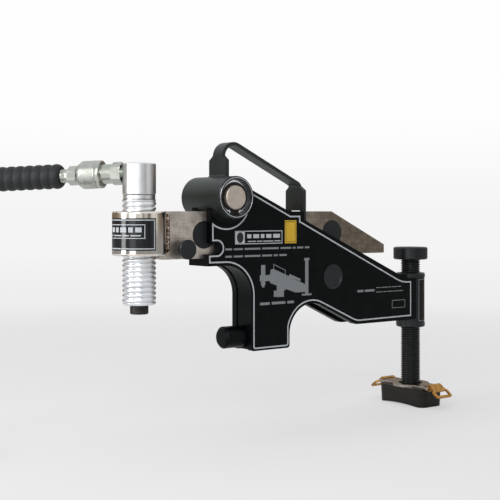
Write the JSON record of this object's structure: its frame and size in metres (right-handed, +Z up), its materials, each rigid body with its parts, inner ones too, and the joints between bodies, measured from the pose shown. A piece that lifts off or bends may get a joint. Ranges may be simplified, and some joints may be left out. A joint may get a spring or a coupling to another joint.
{
  "type": "flange alignment tool",
  "caption": "Flange alignment tool: threaded hydraulic cylinder on a sliding arm, side-plate body with hook finger, carrying handle and screw leg with a strap foot.",
  "frame": {"origin": "on the finger's axis where the finger leaves the column's face, the face that the flange rests on", "axes": "+X from the finger towards the screw leg, +Z up along the leg and cylinder, -Y the front side plate; the finger points along -X"},
  "size_m": [0.9085, 0.3376, 0.3942],
  "materials": {
    "black_paint": "gloss black powder coat",
    "grey_paint": "satin dark grey paint",
    "nickel_plate": "satin nickel plate over brushed steel",
    "slide_plastic": "matt black slide plastic",
    "black_steel": "black coated steel",
    "bearing_steel": "ground bearing steel",
    "bronze": "oiled bronze",
    "spring_steel": "dark spring steel",
    "cylinder_chrome": "bright chrome plate",
    "plunger_steel": "blackened hardened steel",
    "coupler_zinc": "zinc plate, slightly yellow",
    "grip_rubber": "moulded rubber",
    "hose_rubber": "smooth hose cover",
    "seal_rubber": "seal rubber",
    "screw_oxide": "oiled black oxide",
    "foot_nickel": "nickel plated plate",
    "pad_rubber": "hard black rubber",
    "hook_zinc": "yellow zinc plate",
    "cup_plastic": "acetal bearing cup"
  },
  "bodies": {
    "frame": {"side_plate_front": "black_paint", "side_plate_rear": "black_paint", "guide_plate": "black_paint", "hook_column": "black_paint", "tube_weld_front": "black_paint", "tube_weld_rear": "black_paint", "leg_boss": "black_paint", "boss_weld_front": "black_paint", "boss_weld_rear": "black_paint", "roller_tube": "grey_paint", "handle": "grey_paint", "tube_bush_front": "bronze", "tube_bush_rear": "bronze", "circlip_front": "spring_steel", "circlip_rear": "spring_steel", "rear_axle": "black_steel"},
    "arm": {"wing_bar": "nickel_plate", "cylinder_collar": "nickel_plate", "collar_weld": "nickel_plate", "stop_pin": "black_steel", "slide_disc_nose_front": "slide_plastic", "slide_disc_nose_rear": "slide_plastic", "slide_disc_tail_front": "slide_plastic", "slide_disc_tail_rear": "slide_plastic"},
    "front_roller": {"roller_pin": "bearing_steel"},
    "under_roller": {"rear_roller": "bearing_steel"},
    "lift_ring": {"rod_wiper": "seal_rubber"},
    "cylinder": {"cylinder_barrel": "cylinder_chrome", "cylinder_cap": "cylinder_chrome", "return_spring": "spring_steel", "male_coupler": "coupler_zinc", "coupler_body": "coupler_zinc", "hose_ferrule": "coupler_zinc", "hose_grip": "grip_rubber", "hose_run": "hose_rubber", "hose_coil": "hose_rubber", "end_fitting": "coupler_zinc", "end_cap": "grip_rubber"},
    "rod": {"plunger": "plunger_steel", "piston_seal": "seal_rubber"},
    "sleeve": {"coupler_sleeve": "coupler_zinc"},
    "stud": {"ball_stud": "bearing_steel"},
    "screw": {"leg_screw": "screw_oxide", "leg_knob": "black_steel"},
    "cup": {"ball_cup": "cup_plastic"},
    "foot": {"foot_plate": "foot_nickel", "foot_retainer": "black_steel", "foot_pad": "pad_rubber"},
    "hook_front": {"strap_hook_front": "hook_zinc"},
    "hook_rear": {"strap_hook_rear": "hook_zinc"}
  },
  "joints": [
    {"name": "arm_slide", "type": "slide", "parent": "frame", "child": "arm", "axis": [-1, 0, 0], "range_m": [-0.042, 0.09]},
    {"name": "front_roller_spin", "type": "hinge", "parent": "frame", "child": "front_roller", "pos_m": [-0.0417, 0, 0.1904], "axis": [0, 1, 0], "range_deg": [-142, 290]},
    {"name": "rear_roller_spin", "type": "hinge", "parent": "frame", "child": "under_roller", "pos_m": [0.1477, 0, 0.0773], "axis": [0, 1, 0], "range_deg": [-166, 82]},
    {"name": "cylinder_lift", "type": "slide", "parent": "arm", "child": "lift_ring", "axis": [0, 0, 1], "range_m": [-0.0015, 0.0015]},
    {"name": "cylinder_turn", "type": "hinge", "parent": "lift_ring", "child": "cylinder", "pos_m": [-0.164, 0, 0.1], "axis": [0, 0, 1], "range_deg": [-65, 80]},
    {"name": "plunger_stroke", "type": "slide", "parent": "cylinder", "child": "rod", "axis": [0, 0, -1], "range_m": [-0.009, 0.025], "deforming": ["return_spring"]},
    {"name": "sleeve_turn", "type": "hinge", "parent": "cylinder", "child": "sleeve", "pos_m": [-40.41082, 49.70068, -2.23482], "axis": [-0.6289, 0.7766, -0.0384], "continuous": true},
    {"name": "leg_lift", "type": "slide", "parent": "frame", "child": "stud", "axis": [0, 0, 1], "range_m": [-0.0201, 0.0801]},
    {"name": "leg_turn", "type": "hinge", "parent": "stud", "child": "screw", "pos_m": [0.3295, 0, 0], "axis": [0, 0, 1], "range_deg": [-2057, 8228]},
    {"name": "foot_spin", "type": "hinge", "parent": "stud", "child": "cup", "pos_m": [0.3295, 0, -0.109], "axis": [0, 0, 1], "continuous": true},
    {"name": "foot_tilt", "type": "hinge", "parent": "cup", "child": "foot", "pos_m": [0.3295, 0, -0.109], "axis": [0, 1, 0], "range_deg": [-10, 10]},
    {"name": "hook_front_swing", "type": "hinge", "parent": "foot", "child": "hook_front", "pos_m": [0.3295, -0.05, -0.098], "axis": [1, 0, 0], "range_deg": [-60, 35]},
    {"name": "hook_rear_swing", "type": "hinge", "parent": "foot", "child": "hook_rear", "pos_m": [0.3295, 0.05, -0.098], "axis": [1, 0, 0], "range_deg": [-35, 60]}
  ],
  "couplings": [
    {"joint": "front_roller_spin", "follows": "arm_slide", "rad_per_m": 55.249},
    {"joint": "rear_roller_spin", "follows": "arm_slide", "rad_per_m": -31.546},
    {"joint": "cylinder_lift", "follows": "cylinder_turn", "m_per_rad": 0.0010186},
    {"joint": "leg_lift", "follows": "leg_turn", "m_per_rad": 0.00055704}
  ]
}
